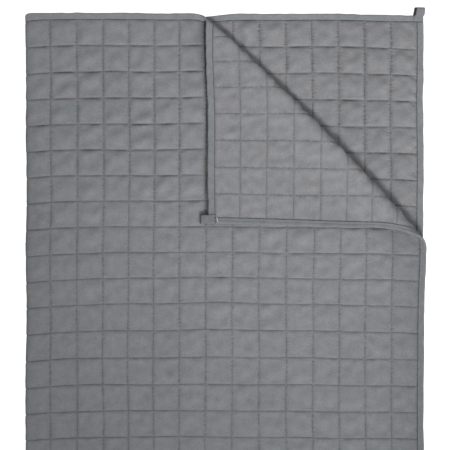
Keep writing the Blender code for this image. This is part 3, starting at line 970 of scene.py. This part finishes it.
def quiltPiece(name, columns, rows, stepsAcross, stepsAlong):
    # two sheets of points, outer and inner, closed by a wall round their edges
    u = cellLines(columns, cloth["columns"], stepsAcross)
    v = cellLines(rows, cloth["rows"], stepsAlong)
    uu, vv = np.meshgrid(u, v, indexing="ij")
    across = np.interp(uu, columnNumbers, columnSeams)
    along = np.interp(vv, rowNumbers, rowSeams)
    sideways, lengthways = seamWander(uu, vv)
    straySideways, strayLengthways = seamStray(uu, vv)
    away = smoothStep(np.abs(across) / quilt["foldStays"])
    across = across + (sideways + straySideways * offRim(uu, cloth["columns"])) * away
    along = along + lengthways + strayLengthways * offRim(vv, cloth["rows"])

    outerLift = pocketLift(uu, vv, across, along, True)
    foldLift = (cloth["seam"] + quilt["foldLevel"]) * bell(across, 0.0, quilt["foldWidth"])
    outerLift = np.maximum(outerLift, foldLift)
    outerLift = np.minimum(outerLift, np.where(across < -quilt["underside"], cloth["crown"], np.inf))
    innerLift = pocketLift(uu, vv, across, along, False)
    points = [layFlat(across, along, lift).reshape(-1, 3) for lift in (outerLift, -innerLift)]

    index = np.arange(uu.size).reshape(uu.shape)
    polygons = [
        *sheetFaces(index, u, v, columns, rows, True),
        *sheetFaces(index + uu.size, u, v, columns, rows, False),
        wallQuads(edgeRing(index), uu.size),
    ]
    uvs = {"cloth": np.tile(pairs(across, along), (2, 1)), "cells": np.tile(pairs(uu, vv), (2, 1))}
    bare = np.where(across < 0.0, 1.0, quilt["looseFolds"]).ravel()
    shades = {
        "paintedShade": np.concatenate([paintedLowShade(across, along, side).ravel() for side in (True, False)]),
        "inside": np.repeat([0.0, 1.0], uu.size),
        "loose": np.concatenate([np.full(uu.size, quilt["looseFolds"]), bare]),
    }
    for seamName, share in zip(("columnShare", "rowShare"), quilt["flapShares"]):
        onFlap = np.where(across > 0.0, share, 1.0).ravel()
        shades[seamName] = np.concatenate([np.ones(uu.size), onFlap])
    mesh = newMesh(name, np.concatenate(points), polygons, uvs, shades)
    piece = newPiece(name, mesh, cottonCloth, ["quilted_cloth"])
    flat = tuple(
        lines[cells[1] + 1] - lines[cells[0] + 1] + rimWidth
        for lines, cells in ((columnSeams, columns), (rowSeams, rows))
    )
    return piece, flat


quiltSplit = {
    "row": 20,                 # where the upper layer is parted
    "head": 14,                # steps in a square, where they show best,
    "foot": 11,                # along the upper layer's foot half,
    "underneath": 6,           # and where the upper layer covers them
    "shownColumns": 9,         # of the lower layer
    "shownRow": 27,            # and from which row on
}
upperHead, upperHeadFlat = quiltPiece(
    "quilt_upper_head", (foldColumn - 1, cloth["columns"]), (quiltSplit["row"], cloth["rows"]),
    lambda cell: quiltSplit["head"], lambda cell: quiltSplit["head"],
)
upperFoot, upperFootFlat = quiltPiece(
    "quilt_upper_foot", (foldColumn - 1, cloth["columns"]), (0, quiltSplit["row"]),
    lambda cell: quiltSplit["head"], lambda cell: quiltSplit["foot"],
)
lower, lowerFlat = quiltPiece(
    "quilt_lower", (0, foldColumn - 1), (0, cloth["rows"]),
    lambda cell: quiltSplit["head" if cell < quiltSplit["shownColumns"] else "underneath"],
    lambda cell: quiltSplit["head" if cell >= quiltSplit["shownRow"] else "underneath"],
)

binding = {
    "seed": 70,
    "spacing": 0.0026,         # between stations along a side's tape
    "endSpacing": 0.001625,    # and along the tape of an end
    "topSteps": 15,
    "turnSteps": 9,
    "dome": 0.0004,            # how much the tape swells over the edge
    "wobble": 0.00022,         # how uneven its rim and its swell are
    "wobbleWaves": (0.02, 0.11, 12, 0.0, 0.4),
    "puffWaves": (0.012, 0.05, 12, 0.0, 0.4),
    "wobbleFrom": (0.001, 0.009),      # out from the seam
    "turnIn": 0.0004,          # rounding of its sewn edge
    "sewnAt": 0.0046,          # its own row of stitches sinks in here
    "sunk": (0.0001, 0.0001),  # this deep, on its outer and inner face
    "openSunk": (0.0005, 0.0006),      # deeper on the upper layer's open side
    "sunkWidth": 0.0007,
    "openShade": 0.1,          # painted shade: how much darker the tape is at the open side
}


def halfTurn(steps):
    # angles round a half circle, without its two ends
    return np.linspace(math.pi / 2, -math.pi / 2, steps)[1:-1]


def bindingSection(sunk):
    # a tape folded over the edge, as (out, lift): out is 0 at the seam. The outside is a low arch
    # with a half circle round the edge, the inside a plain U
    nose = tapeOutside + binding["dome"]
    flatEnd = cloth["edge"] - nose
    run = np.linspace(0.0, 1.0, binding["topSteps"])
    first = cloth["gap"] + binding["turnIn"]
    topOut = first + (flatEnd - first) * run
    topLift = tapeOutside + binding["dome"] * np.sin(run * math.pi / 2)
    sewn = bell(topOut, binding["sewnAt"], binding["sunkWidth"])
    angle = halfTurn(binding["turnSteps"])
    wall = cloth["edge"] - cloth["tape"]
    sewnEdge = cloth["gap"]
    corner = tapeOutside - binding["turnIn"]
    out = np.concatenate([
        [sewnEdge], topOut, flatEnd + nose * np.cos(angle), topOut[::-1],
        [sewnEdge, sewnEdge, wall, wall, sewnEdge],
    ])
    lift = np.concatenate([
        [corner], topLift - sunk[0] * sewn, nose * np.sin(angle), -(topLift - sunk[1] * sewn)[::-1],
        [-corner, -tapeInside, -tapeInside, tapeInside, tapeInside],
    ])
    return out, lift


def stripMesh(name, across, along, lift, uv, tone):
    # a closed strip: a ring of section points at each station, and a cap at each end
    points = layFlat(across, along, lift)
    index = np.arange(lift.size).reshape(lift.shape)
    nextRing = np.roll(index, -1, axis=1)
    sides = np.stack([index[:-1], nextRing[:-1], nextRing[1:], index[1:]], axis=-1).reshape(-1, 4)
    polygons = [sides, index[:1, ::-1], index[-1:, :]]
    return facingOut(newMesh(name, points.reshape(-1, 3), polygons, {"cloth": uv}, {"tone": tone.ravel()}))


def bindingStrip(name, node, tone, end=0, side=0):
    # the section carried along one edge, with slow waves in its rim and small ones in its swell
    out, lift = bindingSection(binding["openSunk"] if side > 0 else binding["sunk"])
    last = halfWidth if end else innerLength - cloth["gap"]
    spacing = binding["endSpacing"] if end else binding["spacing"]
    places = np.append(np.arange(-last, last, spacing), last)
    place, outs = np.meshgrid(places, out, indexing="ij")
    lifts = np.broadcast_to(lift, outs.shape)
    seed = binding["seed"] + 3 * end + side
    wave = ripples(place, np.zeros_like(place), seed, *binding["wobbleWaves"])
    puff = ripples(place, np.zeros_like(place), seed + 20, *binding["puffWaves"])
    share = binding["wobble"] * rising(outs, *binding["wobbleFrom"])
    outs = outs + wave * share
    isOutside = np.abs(lifts) > tapeInside + cloth["tape"] / 4
    lifts = lifts + np.where(isOutside, np.sign(lifts) * 0.5 * (1.0 + puff) * share, 0.0)
    edge = outs + (innerLength if end else innerWidth)
    across, along = (place, end * edge) if end else (side * edge, place)
    # the tape's tone with painted shade growing towards the open side
    shade = tone * (1.0 - binding["openShade"] * smoothStep(across / halfWidth))
    mesh = stripMesh(name, across, along, lifts, pairs(place, outs), shade)
    return newPiece(name, mesh, tapeCloth, [node])


bindings = [
    bindingStrip("tape_head", "binding_head", tone=1.04, end=1),
    bindingStrip("tape_foot", "binding_foot", tone=1.0, end=-1),
    bindingStrip("tape_side_upper", "binding_side_upper", tone=0.95, side=1),
    bindingStrip("tape_side_lower", "binding_side_lower", tone=1.0, side=-1),
]

loop = {
    "width": 0.017,
    "reach": 0.0155,           # beyond the cloth's edge
    "inset": 0.0013,           # from the corner
    "lean": (0.146, 0.207),    # of its outer and inner edge
    "shift": {1: 0.0015, -1: 0.0045},  # how much nearer to the corner the under ply lies, by side
    "shiftFrom": (0.40, 0.65), # it moves over between these shares of the tape's run,
    "freeFrom": (0.006, 0.014),        # and only this far out from the seam
    "bow": 0.0004,             # how far each ply swells there
    "legSteps": 12,
    "turnSteps": 9,
    "sideSteps": 9,
    "paintedDark": (0.70, 0.5),       # painted shade: how much darker the turn at the tip and the hidden ply are
}


def cornerLoop(name, node, tone, side, end, lean=(0.0, 0.0)):
    # a tape doubled round: out along the top, a half circle at the tip, and back underneath, where
    # the ply lies a little nearer to the corner
    middle = tapeOutside + cloth["gap"] + cloth["tape"] / 2
    tip = cloth["edge"] + loop["reach"] - middle - cloth["tape"] / 2
    steps = loop["legSteps"]
    legOut = np.linspace(cloth["gap"], tip, steps)
    angle = halfTurn(loop["turnSteps"])
    out = np.concatenate([legOut, tip + middle * np.cos(angle), legOut[::-1]])
    normalOut = np.concatenate([np.zeros(steps), np.cos(angle), np.zeros(steps)])
    normalLift = np.concatenate([np.ones(steps), np.sin(angle), -np.ones(steps)])
    lift = middle * normalLift
    under = rising(np.linspace(0.0, 1.0, len(out)), *loop["shiftFrom"])
    sides = np.linspace(0.0, 1.0, loop["sideSteps"])
    across = cloth["tape"] + loop["inset"] + loop["width"] * sides
    leans = lean[0] + (lean[1] - lean[0]) * sides
    bowed = loop["bow"] * np.where(np.round(normalLift, 6) < 0.0, -1.0, 1.0)
    points = []
    for offset in (cloth["tape"] / 2, -cloth["tape"] / 2):
        outs = (out + offset * normalOut)[:, None] + np.zeros(len(sides))
        free = rising(outs, *loop["freeFrom"])
        inset = across - loop["shift"][side] * under[:, None] * free
        inset = inset - leans * np.maximum(outs - cloth["edge"], 0.0)
        lifts = (lift + offset * normalLift)[:, None] + bowed[:, None] * np.sin(math.pi * sides) * free
        place = layFlat(side * (halfWidth - inset), end * (innerLength + outs), lifts)
        points.append(place.reshape(-1, 3))
    index = np.arange(outs.size).reshape(outs.shape)
    quads = gridQuads(index).reshape(-1, 4)
    polygons = [quads, (quads + outs.size)[:, ::-1], wallQuads(edgeRing(index), outs.size)]
    uv = np.tile(pairs(*np.broadcast_arrays(across[None, :], (out + lift)[:, None])), (2, 1))
    # the tape's tone with painted shade on the turn at the tip and on the under ply where it shows
    shade = tone * (1.0 - loop["paintedDark"][0] * normalOut) * (1.0 - loop["paintedDark"][1] * (1.0 - under))
    shade = np.tile(np.repeat(shade, len(sides)), 2)
    mesh = facingOut(newMesh(name, np.concatenate(points), polygons, {"cloth": uv}, {"tone": shade}))
    return newPiece(name, mesh, tapeCloth, [node])


loops = [
    cornerLoop("doubled_loop_head_lower", "loop_head_lower", tone=1.0, side=-1, end=1, lean=loop["lean"]),
    cornerLoop("doubled_loop_head_upper", "loop_head_upper", tone=0.78, side=1, end=1),
    cornerLoop("doubled_loop_foot_lower", "loop_foot_lower", tone=1.0, side=-1, end=-1),
    cornerLoop("doubled_loop_foot_upper", "loop_foot_upper", tone=0.86, side=1, end=-1),
]

stitching = {
    "pitch": 0.0031,
    "length": 0.0024,
    "radius": 0.00024,
    "fromEdge": 0.0046,        # out from the binding's seam
    "swell": 0.6,              # the surface there, as a share of the tape's dome
    "tuck": 0.6,               # how deep a stitch's ends go, in radii
}


def stitchRow(across, along, direction, lift, outward, radius):
    # small spindles of thread: two points and two rings of four, centred on each place; direction is
    # the unit vector of the seam and outward the side of the cloth that they show on
    halfLong = stitching["length"] / 2
    tuck = -radius * stitching["tuck"]
    spindle = [(-halfLong, 0.0, tuck)]
    for run in (-halfLong / 2, halfLong / 2):
        spindle += [(run, radius, 0.0), (run, 0.0, radius), (run, -radius, 0.0), (run, 0.0, -radius)]
    run, aside, up = np.array([*spindle, (halfLong, 0.0, tuck)]).T
    across = across[:, None] + run * direction[0] - aside * direction[1]
    along = along[:, None] + run * direction[1] + aside * direction[0]
    return across, along, lift + outward * up + np.zeros_like(across)


def stitchMesh(name, rows):
    # each spindle's ten points joined: a ring of triangles at either tip and four quads between
    across, along, lifts = [np.concatenate(parts) for parts in zip(*rows)]
    points = layFlat(across, along, lifts).reshape(-1, 3)
    triangles = []
    quads = []
    for k in range(4):
        n = (k + 1) % 4
        triangles += [(0, 1 + n, 1 + k), (9, 5 + k, 5 + n)]
        quads.append((1 + k, 1 + n, 5 + n, 5 + k))
    base = (np.arange(len(across)) * across.shape[1])[:, None, None]
    polygons = [(base + np.array(corners)).reshape(-1, len(corners[0])) for corners in (triangles, quads)]
    return facingOut(newMesh(name, points, polygons))


def edgeStitches():
    # one row round each face of the tape, along all four edges
    rows = []
    radius = stitching["radius"]
    surface = tapeOutside + stitching["swell"] * binding["dome"]
    for outward, sunk, openSunk in zip((1.0, -1.0), binding["sunk"], binding["openSunk"]):
        across = np.arange(-innerWidth, innerWidth, stitching["pitch"])
        along = np.arange(-innerLength, innerLength, stitching["pitch"])
        for end in (1, -1):
            atEnd = np.full_like(across, end * (innerLength + stitching["fromEdge"]))
            rows.append(stitchRow(across, atEnd, (1.0, 0.0), outward * (surface - sunk), outward, radius))
        for side, depth in ((1, openSunk), (-1, sunk)):
            atSide = np.full_like(along, side * (innerWidth + stitching["fromEdge"]))
            rows.append(stitchRow(atSide, along, (0.0, 1.0), outward * (surface - depth), outward, radius))
    return newPiece("edge_stitching", stitchMesh("edge_stitching", rows), sewingThread)


bartack = {
    "start": (0.019, 0.0017),  # from the open edge, and from the binding's seam at the end
    "stop": (0.005, 0.0057),
    "pitch": 0.0010,
    "radius": 0.0007,
    "climb": 0.001,            # it comes up on the tape over this distance
}


def bartackRow(end):
    # a dense bar of stitches on the inner face, where the upper layer's corner loop is held
    length = math.dist(bartack["start"], bartack["stop"])
    share = np.arange(0.0, 1.0, bartack["pitch"] / length)
    fromEdge, fromSeam = [
        start + (stop - start) * share for start, stop in zip(bartack["start"], bartack["stop"])
    ]
    across = halfWidth - fromEdge
    along = end * (innerLength - fromSeam)
    onTape = smoothStep((across - innerWidth) / bartack["climb"] + 1.0)
    lift = cloth["seam"] + bartack["radius"] / 2 + (cloth["gap"] + cloth["tape"] + binding["dome"]) * onTape
    direction = ((across[-1] - across[0]) / length, (along[-1] - along[0]) / length)
    return stitchRow(across, along, direction, -lift[:, None], -1.0, bartack["radius"])


edgeThread = edgeStitches()
barThread = newPiece(
    "loop_bartacks", stitchMesh("loop_bartacks", [bartackRow(1), bartackRow(-1)]), bartackThread,
)

studio = {
    "floor": (0.3, 0.3, 0.3),
    "floorGlow": 1.0,
    "floorSize": 8.0,
    "floorLevel": -0.0002,
    "world": (0.985, 1.0, 1.02),
    "worldStrength": 0.742,
    "key": {                   # azimuth 0 is the foot end and 90 the open side
        "azimuth": 14.0, "height": 37.0, "distance": 3.5, "size": 0.8, "spread": 34.0, "power": 4.86,
    },
    "keyAim": (0.13, 1.1, 0.0),
    "view": (0.0014, 0.6014, 2.598),
    "lens": 110.0,
    "sensor": 36.0,
}


def makeFloor():
    # a wide square that glows for the camera only
    size, level = studio["floorSize"], studio["floorLevel"]
    corners = [(-size, -size, level), (size, -size, level), (size, size, level), (-size, size, level)]
    mesh = bpy.data.meshes.new("studioFloor")
    mesh.from_pydata(corners, [], [(0, 1, 2, 3)])
    material = bpy.data.materials.new("paleFloor")
    material.use_nodes = True
    tree = material.node_tree
    shader = tree.nodes["Principled BSDF"]
    shader.inputs["Base Color"].default_value = (*studio["floor"], 1.0)
    shader.inputs["Roughness"].default_value = 1.0
    shader.inputs["Specular IOR Level"].default_value = 0.0
    shader.inputs["Emission Color"].default_value = (1.0, 1.0, 1.0, 1.0)
    rays = tree.nodes.new("ShaderNodeLightPath")
    glow = times(tree, rays.outputs["Is Camera Ray"], studio["floorGlow"])
    tree.links.new(glow, shader.inputs["Emission Strength"])
    mesh.materials.append(material)
    newObject("studio_floor", mesh)


def makeKeyLight():
    settings = studio["key"]
    azimuth = math.radians(settings["azimuth"])
    height = math.radians(settings["height"])
    level = math.cos(height)
    toLight = Vector((math.sin(azimuth) * level, -math.cos(azimuth) * level, math.sin(height)))
    light = bpy.data.lights.new("keyLight", "AREA")
    light.shape = "DISK"
    light.size = settings["size"]
    light.spread = math.radians(settings["spread"])
    light.energy = settings["power"]
    lamp = newObject("keyLight", light)
    lamp.location = Vector(studio["keyAim"]) + toLight * settings["distance"]
    lamp.rotation_euler = (-toLight).to_track_quat("-Z", "Y").to_euler()


def makeStudio():
    makeFloor()
    makeKeyLight()
    world = bpy.data.worlds.new("softRoom")
    world.use_nodes = True
    background = world.node_tree.nodes["Background"]
    background.inputs["Color"].default_value = (*studio["world"], 1.0)
    background.inputs["Strength"].default_value = studio["worldStrength"]
    bpy.context.scene.world = world
    bpy.context.scene.view_settings.view_transform = "Standard"
    camera = bpy.data.cameras.new("topCamera")
    camera.lens = studio["lens"]
    camera.sensor_width = studio["sensor"]
    view = newObject("topCamera", camera)
    view.location = studio["view"]
    bpy.context.scene.camera = view


makeStudio()
print("studio ready")
